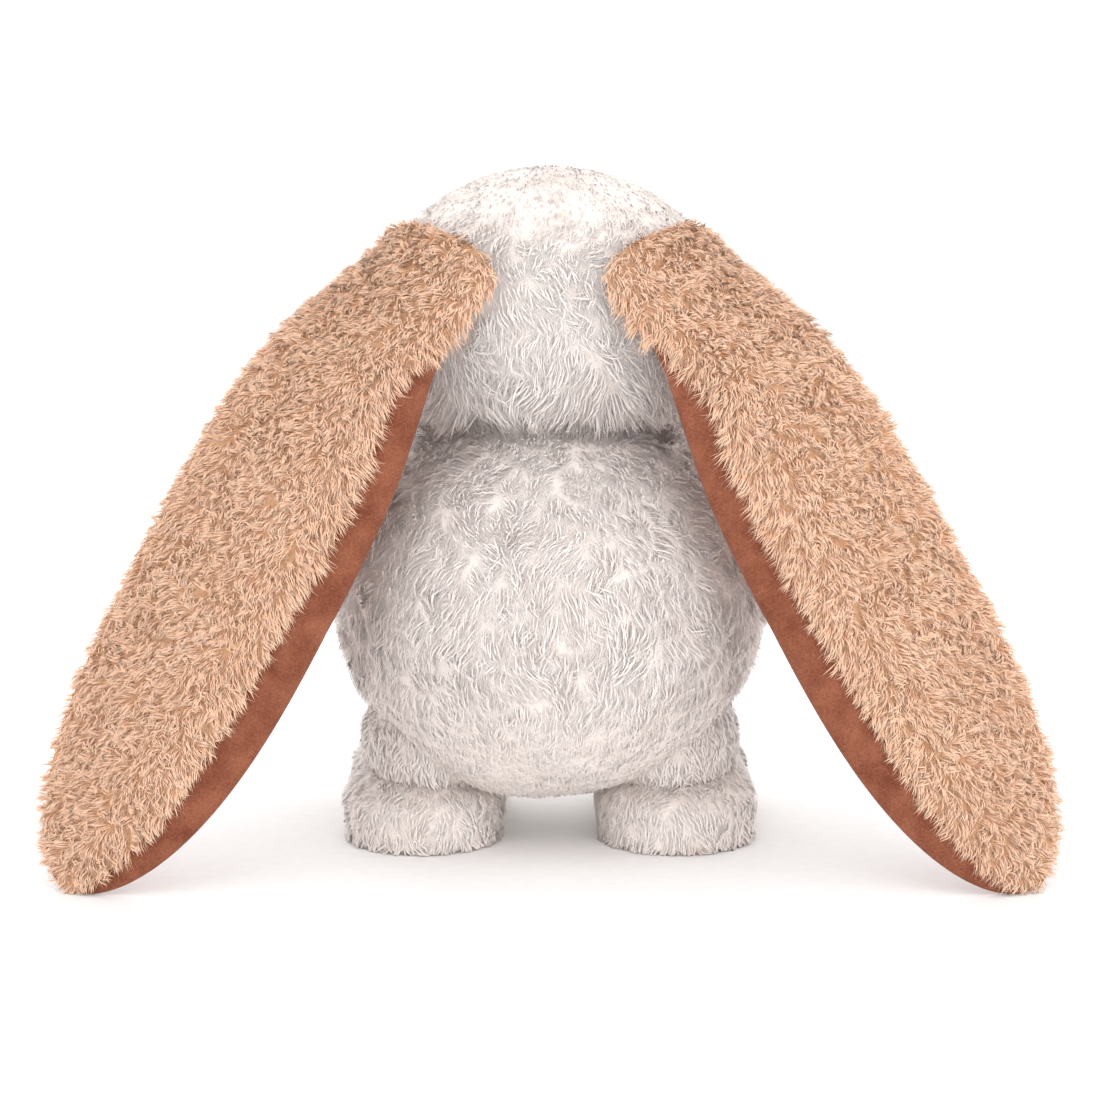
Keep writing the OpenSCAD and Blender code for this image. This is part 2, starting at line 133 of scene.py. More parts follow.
def add(tree, kind, inputs=None, stops=None, **settings):
    """Adds a node. settings are its properties, inputs are values or sockets to link, and
    stops are a ramp's places and colours."""
    node = tree.nodes.new("ShaderNode" + kind)
    for key, value in settings.items():
        setattr(node, key, value)
    for key, value in (inputs or {}).items():
        if isinstance(value, bpy.types.NodeSocket):
            tree.links.new(value, node.inputs[key])
        else:
            node.inputs[key].default_value = value
    for i, (place, colour) in enumerate(stops or ()):
        ramp = node.color_ramp.elements
        stop = ramp[i] if i < len(ramp) else ramp.new(place)
        stop.position, stop.color = place, linear(colour)
    return node


# ---- Meshes from grids of points -------------------------------------------------------

def mesh_object(name, points, faces, material):
    """A smooth shaded object at the origin, from points in millimetres and faces."""
    mesh = bpy.data.meshes.new(name)
    mesh.from_pydata((np.asarray(points) * MM).tolist(), [], faces)
    mesh.polygons.foreach_set("use_smooth", [True] * len(mesh.polygons))
    mesh.materials.append(material)
    mesh.validate()
    ob = bpy.data.objects.new(name, mesh)
    bpy.context.scene.collection.objects.link(ob)
    return ob


def ring_faces(rows, cols):
    """Faces of closed rings stacked in rows, with a pole at each end. Point 0 is the first
    pole and the last point is the last pole."""
    j = np.arange(cols)
    e = (j + 1) % cols
    first = np.stack([np.zeros(cols, int), 1 + e, 1 + j], 1)
    i = np.arange(rows - 1)[:, None]
    a, b = 1 + i * cols + j, 1 + i * cols + e
    quads = np.stack([a, b, b + cols, a + cols], -1).reshape(-1, 4)
    end = 1 + rows * cols
    last = np.stack([np.full(cols, end), end - cols + j, end - cols + e], 1)
    return first.tolist() + quads.tolist() + last.tolist()


def closed_skin(name, grid, material):
    """A closed cover: the rings of a grid, with the mean of its first and last ring's points
    as poles."""
    rows, cols, _ = grid.shape
    points = np.concatenate([grid[:1].mean(1), grid.reshape(-1, 3), grid[-1:].mean(1)])
    return mesh_object(name, points, ring_faces(rows, cols), material)


def strip(name, outside, inside, material):
    """A strip of cloth: a grid outside, the same grid inside, closed along its four edges."""
    n, m, _ = outside.shape
    points = np.concatenate([outside.reshape(-1, 3), inside.reshape(-1, 3)])
    i, j = np.arange(n - 1)[:, None], np.arange(m - 1)
    a = (i * m + j).ravel()
    top = np.stack([a, a + 1, a + m + 1, a + m], 1)
    under = top[:, ::-1] + n * m

    def edge(line):
        return np.stack([line[1:], line[:-1], line[:-1] + n * m, line[1:] + n * m], 1)

    sides = [edge(np.arange(m)), edge(np.arange(m)[::-1] + (n - 1) * m),
             edge(np.arange(n)[::-1] * m), edge(np.arange(n) * m + m - 1)]
    return mesh_object(name, points, np.concatenate([top, under, *sides]).tolist(), material)


def normals(grid, wrap=True):
    """Unit normals of a grid: the cross product of its slopes along rows and along columns."""
    across = (np.roll(grid, -1, 1) - np.roll(grid, 1, 1)) if wrap else np.gradient(grid, axis=1)
    return unit(np.cross(across, np.gradient(grid, axis=0)))


def finer(grid, axis, wrap):
    """Twice as many points along an axis: each new one is 9/16 of its two neighbours and
    -1/16 of the next two, which is a cubic curve through all four."""
    g = np.moveaxis(grid, axis, 0)
    if wrap:
        before, after, beyond = np.roll(g, 1, 0), np.roll(g, -1, 0), np.roll(g, -2, 0)
    else:
        after = np.concatenate([g[1:], 2 * g[-1:] - g[-2:-1]])
        before = np.concatenate([2 * g[:1] - g[1:2], g[:-1]])
        beyond = np.concatenate([after[1:], 2 * after[-1:] - after[-2:-1]])
    middle = (9 * (g + after) - before - beyond) / 16
    out = np.stack([g, middle], 1).reshape(-1, *g.shape[1:])
    return np.moveaxis(out if wrap else out[:-1], 0, axis)


def stuffed(grid, held, cap, pressure=4.0):
    """A cover filled by cloth simulation: the closed rings of a grid swell under pressure,
    with the held points fixed, and no point moves further than cap millimetres."""
    rows, cols, _ = grid.shape
    ob = closed_skin("cover", grid, None)
    group = ob.vertex_groups.new(name="held")
    keep = np.concatenate([[True], held.ravel(), [True]])
    group.add(np.flatnonzero(keep).tolist(), 1.0, "REPLACE")
    cloth = ob.modifiers.new("stuffing", "CLOTH")
    cloth.settings.use_pressure = True
    cloth.settings.uniform_pressure_force = pressure
    cloth.settings.vertex_group_mass = "held"
    cloth.settings.effector_weights.gravity = 0
    cloth.point_cache.frame_start, cloth.point_cache.frame_end = 1, 20
    for step in range(1, 21):
        bpy.context.scene.frame_set(step)
    filled = ob.evaluated_get(bpy.context.evaluated_depsgraph_get()).to_mesh()
    at = np.empty(len(filled.vertices) * 3)
    filled.vertices.foreach_get("co", at)
    at = at.reshape(-1, 3)[1:-1].reshape(grid.shape) / MM
    bpy.context.scene.frame_set(1)
    bpy.data.objects.remove(ob)
    move = at - grid
    far = np.linalg.norm(move, axis=-1, keepdims=True)
    return grid + move * np.minimum(1, cap / np.maximum(far, 1e-9))


def mirrored(grid):
    """The same grid for the toy's other side, with its columns turned round so that its faces
    still look outwards."""
    return grid[:, ::-1] * [-1, 1, 1]


# ---- Fur -------------------------------------------------------------------------------

def scatter(grid, count, rng, amount, wrap):
    """Points spread over a grid's surface by area times amount, with their normals and their
    places along its rows and columns from 0 to 1."""
    g = np.concatenate([grid, grid[:, :1]], 1) if wrap else grid
    n, m, _ = g.shape
    nrm = normals(grid, wrap)
    nrm = np.concatenate([nrm, nrm[:, :1]], 1) if wrap else nrm
    a, b, c, d = g[:-1, :-1], g[:-1, 1:], g[1:, 1:], g[1:, :-1]
    area = np.linalg.norm(np.cross(c - a, d - b), axis=-1) / 2
    row = (np.arange(n - 1) + 0.5)[:, None] / (n - 1) + np.zeros((1, m - 1))
    col = (np.arange(m - 1) + 0.5)[None, :] / (m - 1) + np.zeros((n - 1, 1))
    share = area.ravel() * amount((a + b + c + d).reshape(-1, 3) / 4, row.ravel(), col.ravel())
    cell = np.searchsorted(np.cumsum(share) / share.sum(), rng.random(count))
    i, j = np.divmod(np.minimum(cell, share.size - 1), m - 1)
    u, v = rng.random((2, count, 1))

    def mix(x):
        return ((1 - u) * ((1 - v) * x[i, j] + v * x[i, j + 1])
                + u * ((1 - v) * x[i + 1, j] + v * x[i + 1, j + 1]))

    return mix(g), unit(mix(nrm)), (i + u[:, 0]) / (n - 1), (j + v[:, 0]) / (m - 1)


def nearest(points, centres):
    """The index of each point's nearest centre."""
    size = (centres ** 2).sum(1)
    return np.concatenate([
        np.argmin(size - 2 * points[k:k + 4000] @ centres.T, 1)
        for k in range(0, len(points), 4000)])


# A lock has a ring at its root, a ring at its middle and a tip; a hair has no middle ring
LOCK = ([(0, 1, 4), (0, 4, 3), (1, 2, 5), (1, 5, 4), (2, 0, 3), (2, 3, 5), (3, 4, 6), (4, 5, 6),
         (5, 3, 6), (0, 2, 1)], [0.03, 0.03, 0.03, 0.5, 0.5, 0.5, 0.97])
HAIR = ([(0, 1, 3), (1, 2, 3), (2, 0, 3), (0, 2, 1)], [0.03, 0.03, 0.03, 0.97])


def grow(grid, count, thin, style, amount, rng, wrap, tufts):
    """Three-sided locks or hairs, lying flat. Each runs from its root to a middle point and a
    tip: root + length x (lean x combed way + (1 - lean) x normal), bowed at its middle, and
    drawn towards its tuft's middle by gather. All of a tuft share a random turn. Gives points,
    shading normals, shades and places along the rows."""
    root, nrm, row, col = scatter(grid, count, rng, amount, wrap)
    centre, turns, leans, sizes, tones = tufts
    mine = nearest(root, centre)
    s = style(root, nrm, row, col)
    turn = turns[mine] * s["curl"] + rng.normal(size=count) * (0.35 if thin else 0.12)
    comb = unit(s["comb"] - (s["comb"] * nrm).sum(1, keepdims=True) * nrm)
    side = np.cross(nrm, comb)
    comb = comb * np.cos(turn)[:, None] + side * np.sin(turn)[:, None]
    lean = (s["lean"] + leans[mine])[:, None]
    size = (s["length"] * sizes[mine] * rng.uniform(0.8, 1.08, count))[:, None]
    way = unit(lean * comb + (1 - lean) * nrm)
    pull = (root - centre[mine]) * (s["gather"] * np.ones(count))[:, None]
    loose = rng.normal(size=(count, 3)) * size * 0.035
    mid = root + size * (0.5 * way + 0.13 * nrm) - 0.3 * pull + loose
    tip = root + size * (way - 0.08 * nrm) - pull + (2.2 if thin else 1.6) * loose
    low = root - 0.8 * nrm
    axis = unit((tip if thin else mid) - low)
    s1 = unit(np.cross(nrm, axis))[:, None]
    s2 = np.cross(axis, s1[:, 0])[:, None] * s.get("flat", 0.3)
    angle = np.pi / 2 + np.arange(3) * 2 * np.pi / 3 + rng.normal(size=(count, 1)) * 0.25
    ring = s1 * np.cos(angle)[..., None] + s2 * np.sin(angle)[..., None]
    thick = (s["width"] / 2 * rng.uniform(0.75, 1.2, count) * (0.6 if thin else 1))[:, None, None]
    rings = [low[:, None] + ring * thick, mid[:, None] + ring * thick * 0.85, tip[:, None]]
    turned = [ring, ring, axis[:, None]]
    if thin:
        del rings[1], turned[1]
    points = np.concatenate(rings, 1)
    points[..., 2] = np.maximum(points[..., 2], FLOOR_GAP)
    crisp = (s.get("crisp", 0.15) + np.zeros(count))[:, None, None]
    look = unit(np.concatenate(turned, 1) * crisp + nrm[:, None])
    shade = np.clip(s["shade"] + tones[mine] * 0.09 + rng.normal(size=count) * 0.05, 0.02, 0.96)
    return points, look, shade, row


def fur(name, body, grid, locks, hairs, style, amount, material, seed, wrap=True,
        parts=1, per_tuft=10, bend=None):
    """Pile of closed locks with finer hairs between them, in parts from its first row to its
    last. A tuft has about per_tuft locks. Shading normals lean towards the cloth's own, as
    light spreads in real pile."""
    rng = np.random.default_rng(seed)
    centre = scatter(grid, locks // per_tuft, rng, amount, wrap)[0]
    some = len(centre)
    tufts = (centre, rng.normal(size=some), rng.normal(size=some) * 0.07,
             rng.uniform(0.8, 1.2, some), rng.normal(size=some))
    grown = [(grow(grid, locks, False, style, amount, rng, wrap, tufts), *LOCK),
             (grow(grid, hairs, True, style, amount, rng, wrap, tufts), *HAIR)]
    for k in range(parts):
        at, look, uv, index = [], [], [], []
        start = 0
        for (points, way, shade, row), faces, along in grown:
            order = np.array_split(np.argsort(row), parts)[k]
            n, m = len(order), len(along)
            at.append(points[order].reshape(-1, 3))
            look.append(way[order].reshape(-1, 3))
            about = np.resize([0, 0.008, 0.016], m)
            uv.append(np.stack([shade[order][:, None] + about,
                                np.zeros((n, 1)) + along], -1).reshape(-1, 2))
            index.append((start + np.arange(n)[:, None, None] * m + np.array(faces)).ravel())
            start += n * m
        at, look, uv, index = map(np.concatenate, (at, look, uv, index))
        mesh = bpy.data.meshes.new(name)
        mesh.vertices.add(len(at))
        mesh.vertices.foreach_set("co", (at * MM).ravel())
        mesh.loops.add(len(index))
        mesh.loops.foreach_set("vertex_index", index)
        mesh.polygons.add(len(index) // 3)
        mesh.polygons.foreach_set("loop_start", np.arange(0, len(index), 3))
        mesh.polygons.foreach_set("use_smooth", np.ones(len(index) // 3, bool))
        mesh.update(calc_edges=True)
        mesh.uv_layers.new(name="OFBake").data.foreach_set("uv", uv[index].ravel())
        mesh.materials.append(material)
        mesh.normals_split_custom_set_from_vertices(look.tolist())
        ob = bpy.data.objects.new(name if parts == 1 else f"{name}_{k + 1}", mesh)
        bpy.context.scene.collection.objects.link(ob)
        if bend:
            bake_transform(ob)
        else:
            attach(ob, body)


# ---- Materials -------------------------------------------------------------------------

def new_material(name):
    material = bpy.data.materials.new(name)
    material.use_nodes = True
    tree = material.node_tree
    tree.nodes.clear()
    return material, tree


def finish_material(tree, colour, roughness, sheen=0.0, specular=0.3, normal=None, coat=0.0,
                    rough_from=None):
    """The shader and the output, with what is the same all over on the shader's own sockets."""
    inputs = {"Base Color": colour, "Roughness": roughness, "Sheen Weight": sheen,
              "Specular IOR Level": specular, "Coat Weight": coat}
    if normal is not None:
        inputs["Normal"] = normal
    if rough_from is not None:
        inputs["Roughness"] = rough_from
    shader = add(tree, "BsdfPrincipled", inputs)
    add(tree, "OutputMaterial", {"Surface": shader.outputs[0]})


def pile_material(name, along, shades, streak):
    """Acrylic pile, carded and brushed: each lock's colour runs along a ramp from root to tip,
    deeper at the root for the tan and a touch lighter at the root for the white, which is painted
    light against the shade deep in the pile. Locks differ in shade, and hair by hair streaks run
    along them."""
    material, tree = new_material(name)
    uv = add(tree, "UVMap", uv_map="OFBake")
    xy = add(tree, "SeparateXYZ", {0: uv.outputs[0]})
    length = add(tree, "ValToRGB", {0: xy.outputs[1]}, stops=along)
    shade = add(tree, "ValToRGB", {0: xy.outputs[0]}, stops=shades)
    both = add(tree, "Mix", {0: 1.0, 6: length.outputs[0], 7: shade.outputs[0]},
               data_type="RGBA", blend_type="MULTIPLY")
    drawn = add(tree, "Mapping", {0: uv.outputs[0], 3: (260.0, 3.0, 1.0)})
    hairs = add(tree, "TexNoise", {"Vector": drawn.outputs[0], "Scale": 1.0, "Detail": 2.0})
    streaks = add(tree, "ValToRGB", {0: hairs.outputs[0]}, stops=streak)
    colour = add(tree, "Mix", {0: 1.0, 6: both.outputs[2], 7: streaks.outputs[0]},
                 data_type="RGBA", blend_type="MULTIPLY")
    finish_material(tree, colour.outputs[2], 0.75, sheen=0.15, specular=0.2)
    return material


def cloth_material(name, low, high, nap_mm, patch_mm, bump, roughness=0.9, sheen=0.0):
    """Cloth with a nap: fine noise at the nap's size over broad patches of lighter and darker
    colour, which are random tone and, on napped cloth, a painted sheen of nap brushed one way or
    the other, with a bump of the nap's height."""
    material, tree = new_material(name)
    at = add(tree, "TexCoord")
    nap = add(tree, "TexNoise", {"Vector": at.outputs["Object"], "Scale": 1 / (nap_mm * MM),
                                 "Detail": 3.0, "Roughness": 0.6})
    # broad patches: random tone, and on napped cloth painted sheen of nap brushed different ways
    patch = add(tree, "TexNoise", {"Vector": at.outputs["Object"], "Scale": 1 / (patch_mm * MM),
                                   "Detail": 2.0})
    blend = add(tree, "Math", {0: nap.outputs[0], 1: patch.outputs[0]}, operation="ADD")
    half = add(tree, "Math", {0: blend.outputs[0], 1: 0.5}, operation="MULTIPLY")
    colour = add(tree, "ValToRGB", {0: half.outputs[0]}, stops=[(0.36, low), (0.64, high)])
    relief = add(tree, "Bump", {"Height": nap.outputs[0], "Distance": bump * MM, "Strength": 0.8})
    finish_material(tree, colour.outputs[0], roughness, sheen=sheen, specular=0.2,
                    normal=relief.outputs[0])
    return material


def moulded_material(name, low, high, grain_mm, roughness, coat=0.0, specular=0.5):
    """Moulded plastic: a faint flow of tone, and a fine grain that varies its gloss."""
    material, tree = new_material(name)
    at = add(tree, "TexCoord")
    flow = add(tree, "TexNoise", {"Vector": at.outputs["Object"], "Scale": 1 / (6 * grain_mm * MM)})
    grain = add(tree, "TexNoise", {"Vector": at.outputs["Object"], "Scale": 1 / (grain_mm * MM)})
    colour = add(tree, "ValToRGB", {0: flow.outputs[0]}, stops=[(0.3, low), (0.7, high)])
    gloss = add(tree, "MapRange", {0: grain.outputs[0], 3: roughness * 0.8, 4: roughness * 1.2})
    finish_material(tree, colour.outputs[0], roughness, coat=coat, specular=specular,
                    rough_from=gloss.outputs[0])
    return material


# Long white acrylic pile: near white tips, with roots a touch lighter still, painted light against
# the shade deep in the pile. The shades run down to a pinkish grey, which is painted shade: on the
# crown and face against the strong light there, and near the floor, where light doesn't reach
white_pile = pile_material(
    "white_acrylic_pile",
    # painted light: the roots are lighter than the tips, against the shade deep in the pile
    [(0.0, "#fdf8f5"), (0.45, "#fbf5f2"), (1.0, "#f9f3f0")],
    # the low end is painted shade, used on the crown and face and near the floor
    [(0.0, "#e6dcd6"), (0.5, "#fcf8f6"), (1.0, "#fffefd")],
    [(0.35, "#fcf9f7"), (0.6, "#ffffff")])
# Curly tan acrylic pile: toffee roots, cream tips
tan_pile = pile_material(
    "tan_acrylic_pile",
    [(0.0, "#e2b08e"), (0.45, "#f8ccae"), (1.0, "#ffe3cb")],
    [(0.0, "#eaddd4"), (0.5, "#faf4f0"), (1.0, "#fffdfc")],
    [(0.35, "#f2eae4"), (0.6, "#ffffff")])
# Short-napped brushed knit, whose darker and lighter patches are painted sheen, where the stroked
# nap would catch the light differently
rust_cloth = cloth_material("rust_brushed_knit", "#703a27", "#955b43", 0.9, 11, 0.3, sheen=0.15)
# Knitted backing under the pile
white_backing = cloth_material("white_knit_backing", "#e4d8d1", "#f3eae5", 1.1, 20, 0.3)
tan_backing = cloth_material("tan_knit_backing", "#b98b68", "#d2a581", 1.1, 20, 0.3)
# Short pile of the soles, a little soiled
sole_nap = cloth_material("sole_short_pile", "#c9b7ab", "#ded0c6", 1.0, 18, 0.3, sheen=0.1)
pouch_cotton = cloth_material("pouch_cotton_calico", "#c9bda6", "#e3d9c6", 0.7, 15, 0.1)
thread = cloth_material("twisted_mouth_thread", "#5a3326", "#7d4e3f", 0.5, 4, 0.2, sheen=0.1)
eye_plastic = moulded_material("black_acrylic_eye", "#0c0807", "#1d1411", 0.6, 0.08, coat=0.6)
nose_plastic = moulded_material("rose_moulded_nose", "#a96a5c", "#bf8071", 0.5, 0.38)
washer_plastic = moulded_material("natural_polyethylene_washer", "#dcdcd6", "#efefe9", 0.7, 0.4)
pellet_plastic = moulded_material("grey_polypropylene_pellets", "#a9adb3", "#c8cbd0", 1.2, 0.4)
board_plastic = moulded_material("grey_stiffener_sheet", "#7d7d79", "#97978f", 1.0, 0.55)


def wear(material, *nodes):
    """Gives CAD nodes that stay a better material."""
    for node in nodes:
        for slot in frame["nodes"][node].material_slots:
            slot.material = material


for side in ("left", "right"):
    wear(eye_plastic, f"eye_{side}")
    wear(washer_plastic, f"eye_washer_{side}")
    wear(sole_nap, f"sole_{side}")
    wear(board_plastic, f"sole_board_{side}")
wear(nose_plastic, "nose")
wear(washer_plastic, "nose_washer")
wear(thread, "mouth_stitch")
wear(pouch_cotton, "pellet_pouch")
wear(pellet_plastic, "pellets")

SIDES = (("left", 1), ("right", -1))


# ---- Body ------------------------------------------------------------------------------

def body_grid(rows=56, cols=112):
    """Half an ellipse below the girth and half of another above it, turned about Z, inset by
    the pile and cut level at the neck, with a flat lid in three rings."""
    top = np.arcsin((neck_z - body_z) / (CHEST_H - PILE))
    q = np.linspace(-np.pi / 2 * 0.985, top, rows)
    r = (body_r - PILE) * np.cos(q)
    z = body_z + np.where(q < 0, BELLY_H - PILE, CHEST_H - PILE) * np.sin(q)
    r = np.concatenate([r, r[-1] * np.array([0.9, 0.6, 0.3])])
    z = np.concatenate([z, [neck_z] * 3])
    a = np.linspace(0, 2 * np.pi, cols, endpoint=False)
    return np.stack([r[:, None] * np.cos(a), r[:, None] * np.sin(a),
                     z[:, None] + np.zeros(cols)], -1)


def in_foot(p, grow=0.0):
    """True where a point lies inside a leg: its haunch's ball or its foot's rounded bar."""
    x = np.abs(p[:, 0])
    haunch = np.linalg.norm(np.stack([x, p[:, 1], p[:, 2]], 1) - haunch_mid, axis=1)
    y = np.clip(p[:, 1], foot_low[1] + FOOT_W / 2, foot_high[1] - FOOT_W / 2)
    flat = np.hypot(x - foot_mid[0], p[:, 1] - y)
    return (haunch < HAUNCH_R + grow) | ((flat < FOOT_W / 2 + grow) & (p[:, 2] < 38 + grow))


foot_mid = (foot_low + foot_high) / 2
foot_mid[0] = foot_high[0] - FOOT_W / 2
haunch_mid = np.array([foot_mid[0] - HAUNCH_IN, foot_high[1] - FOOT_W / 2 - HAUNCH_IN, 45.0])

body = body_grid()
held = np.zeros(body.shape[:2], bool)
held[52:] = held[:3] = True
body = finer(finer(stuffed(body, held, 1.5), 0, False), 1, True)
dents = 0.9 * ripple(body, 60, 11) * ease((neck_z - 12 - body[..., 2]) / 30)
body += normals(body) * dents[..., None]
skin = closed_skin("body_skin", body, white_backing)
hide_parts("body_cover", "body_filling")
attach(skin, "body")


def body_amount(p, row, col):
    hidden = in_foot(p, -2) | (p[:, 2] > neck_z - 1.5)
    return np.where(hidden, 0.0, 1.0 + 0.8 * ease(1 - (neck_z - p[:, 2]) / 10))


def body_style(p, n, row, col):
    """Combed downwards with swirls above, and shorter and flatter towards the belly's foot."""
    high = ease((p[:, 2] - 45) / 55)
    swirl = 0.45 * ripple(p, 40, 21) * high
    down = np.array([0, 0, -1.0]) - n * -n[:, 2:3]
    down = unit(down + 1e-3)
    side = np.cross(n, down)
    comb = down * np.cos(swirl)[:, None] + side * np.sin(swirl)[:, None]
    collar = ease(1 - (neck_z - p[:, 2]) / 13)
    return {"comb": comb, "length": 5.2 + 3.6 * high + 2.0 * collar,
            "lean": 0.88 - 0.22 * high - 0.36 * collar,
            "curl": 0.12 + 0.33 * high, "gather": 0.06 + 0.34 * high,
            "width": 0.8 + 0.02 * high, "crisp": 0.06 + 0.1 * high,
            "shade": 0.5 + 0.07 * ripple(p, 40, 22)}


fur("body_fur", "body", body, 13000, 78000, body_style, body_amount, white_pile,
    31, parts=3, per_tuft=7)


# ---- Legs ------------------------------------------------------------------------------

def foot_grid(rows=22, cols=52):
    """A rounded bar on the floor: a stadium's outline drawn in towards its middle as it rises,
    by the cosine of the height's angle, with a low lip round the sole."""
    a = np.linspace(0, 2 * np.pi, cols, endpoint=False)
    half = (foot_high[1] - foot_low[1]) / 2
    r, straight = FOOT_W / 2, half - FOOT_W / 2
    c, s = np.abs(np.cos(a)), np.abs(np.sin(a))
    beyond = straight * s + np.sqrt(np.maximum(r ** 2 - (straight * c) ** 2, 0))
    reach = np.where(straight * c < r * s, beyond, r / np.maximum(c, 1e-6))
    reach = np.minimum(reach, half)
    q = np.concatenate([[-0.62], np.linspace(-0.56, np.pi / 2 * 0.97, rows)])
    wide = np.cos(np.where(q < 0, 0.35 * q, q))
    wide[0] = 0.93
    mid_z, under = 18.0, 31.0
    z = np.where(q < 0, mid_z + under * np.sin(q), mid_z + (41.0 - mid_z - PILE) * np.sin(q))
    z[0] = SOLE_TOP
    x = foot_mid[0] + wide[:, None] * (reach - PILE) * np.cos(a)
    y = foot_mid[1] + wide[:, None] * (reach - PILE) * np.sin(a)
    return np.stack([x, y, z[:, None] + np.zeros(cols)], -1)


def haunch_grid(rows=20, cols=36):
    """A ball a little longer than it is wide, inset by the pile."""
    q = np.linspace(-np.pi / 2 * 0.96, np.pi / 2 * 0.96, rows)[:, None]
    a = np.linspace(0, 2 * np.pi, cols, endpoint=False)
    r = HAUNCH_R - PILE
    return haunch_mid + np.stack([r * np.cos(q) * np.cos(a), r * np.cos(q) * np.sin(a),
                                  0.94 * r * np.sin(q) + 0 * a], -1)


def in_body(p, grow=0.0):
    """True where a point lies inside the body's skin."""
    h = np.where(p[:, 2] < body_z, BELLY_H, CHEST_H)
    return (np.hypot(p[:, 0], p[:, 1]) / (body_r - PILE + grow)) ** 2 \
        + ((p[:, 2] - body_z) / (h - PILE + grow)) ** 2 < 1


def foot_style(p, n, row, col):
    """Short pile combed down and outwards, darker within 9 mm of the floor: painted shade."""
    comb = np.array([0, 0, -1.0]) + 0.25 * ripple(p, 30, 41)[:, None] * np.cross(n, [0, 0, 1.0])
    comb = comb + 0.02
    return {"comb": comb, "length": 6.2, "lean": 0.8, "curl": 0.35,
            "gather": 0.3, "width": 0.85, "shade": 0.66 + 0.1 * ripple(p, 25, 42)
            # painted shade: the pile's lowest 9 mm is darkened like a contact shadow on the floor
            - 0.5 * ease(1 - p[:, 2] / 9)}


foot = foot_grid()
held = np.zeros(foot.shape[:2], bool)
held[:2] = True
foot = finer(finer(stuffed(foot, held, 2.0), 0, False), 1, True)
haunch = haunch_grid()
held = np.zeros(haunch.shape[:2], bool)
held[:1] = held[-1:] = True
haunch = finer(finer(stuffed(haunch, held, 2.0), 0, False), 1, True)

for side, sign in SIDES:
    flip = mirrored if sign < 0 else (lambda grid: grid)
    for part, grid, count, seed, other in (
            ("foot", foot, 4800, 51, lambda p, row: row < 0.05),
            ("haunch", haunch, 2000, 52, lambda p, row: p[:, 2] < 26)):
        grid = flip(grid)
        skin = closed_skin(f"leg_{side}_{part}_skin", grid, white_backing)
        if part == "foot":
            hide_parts(f"leg_cover_{side}", f"leg_filling_{side}")
        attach(skin, "body")
        fur(f"leg_{side}_{part}_fur", "body", grid, count, 2 * count, foot_style,
            lambda p, row, col, other=other: np.where(
                in_body(p, -2) | other(p, row), 0.0, 1.0 + 2.5 * ease(1 - p[:, 2] / 9)),
            white_pile, seed + (sign < 0) * 10, per_tuft=8)


# ---- Arms ------------------------------------------------------------------------------

def arm_grid(rows=16, cols=28):
    """A tube carried round the body on a circle about its middle, with a round end at each
    end. Its pile presses into the body's, so that no light shows between them."""
    r = ARM_D / 2 - 1.5
    way = max(body_r, BELLY_H, CHEST_H) + ARM_D / 2 - 2.0
    cap = np.linspace(-np.pi / 2 * 0.93, 0, 7)
    span = np.radians(ARM_SPAN)
    turn = np.concatenate([np.zeros(7), np.linspace(0, span, rows)[1:-1], np.full(7, span)])
    step = np.concatenate([r * np.sin(cap), np.zeros(rows - 2), -r * np.sin(cap)[::-1]])
    wide = np.concatenate([r * np.cos(cap), np.full(rows - 2, r), r * np.cos(cap)[::-1]])
    turn = np.radians(ARM_RISE - ARM_SPAN) + turn
    a = np.linspace(0, 2 * np.pi, cols, endpoint=False)
    out = np.stack([np.cos(turn), np.sin(turn)], 1)     # away from the body, and up
    on = np.stack([-np.sin(turn), np.cos(turn)], 1)
    flat = (way + wide[:, None, None] * np.cos(a)[:, None]) * out[:, None] \
        + step[:, None, None] * on[:, None]
    across = wide[:, None] * np.sin(a)
    about = np.radians(ARM_SIDE)
    ahead = np.array([np.sin(about), -np.cos(about)])
    beside = np.array([np.cos(about), np.sin(about)])
    xy = flat[..., :1] * ahead + across[..., None] * beside
    return np.concatenate([xy, body_z + flat[..., 1:]], -1)


def arm_style(p, n, row, col):
    """Pile combed down the arm."""
    comb = np.array([0, 0, -1.0]) - p * [1, 1, 0] / 300 + 0.02
    return {"comb": comb, "length": 7.0, "lean": 0.74, "curl": 0.35,
            "gather": 0.4, "width": 0.9, "shade": 0.66 + 0.1 * ripple(p, 30, 62)}


arm = arm_grid()
held = np.zeros(arm.shape[:2], bool)
held[:1] = held[-1:] = True
arm = finer(finer(stuffed(arm, held, 1.5), 0, False), 1, True)
for side, sign in SIDES:
    grid = mirrored(arm) if sign < 0 else arm
    skin = closed_skin(f"arm_{side}_skin", grid, white_backing)
    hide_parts(f"arm_cover_{side}", f"arm_filling_{side}")
    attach(skin, f"arm_{side}")
    fur(f"arm_{side}_fur", f"arm_{side}", grid, 3000, 6500, arm_style,
        lambda p, row, col: 1.0, white_pile, 63 + (sign < 0), per_tuft=10)


# ---- Head ------------------------------------------------------------------------------

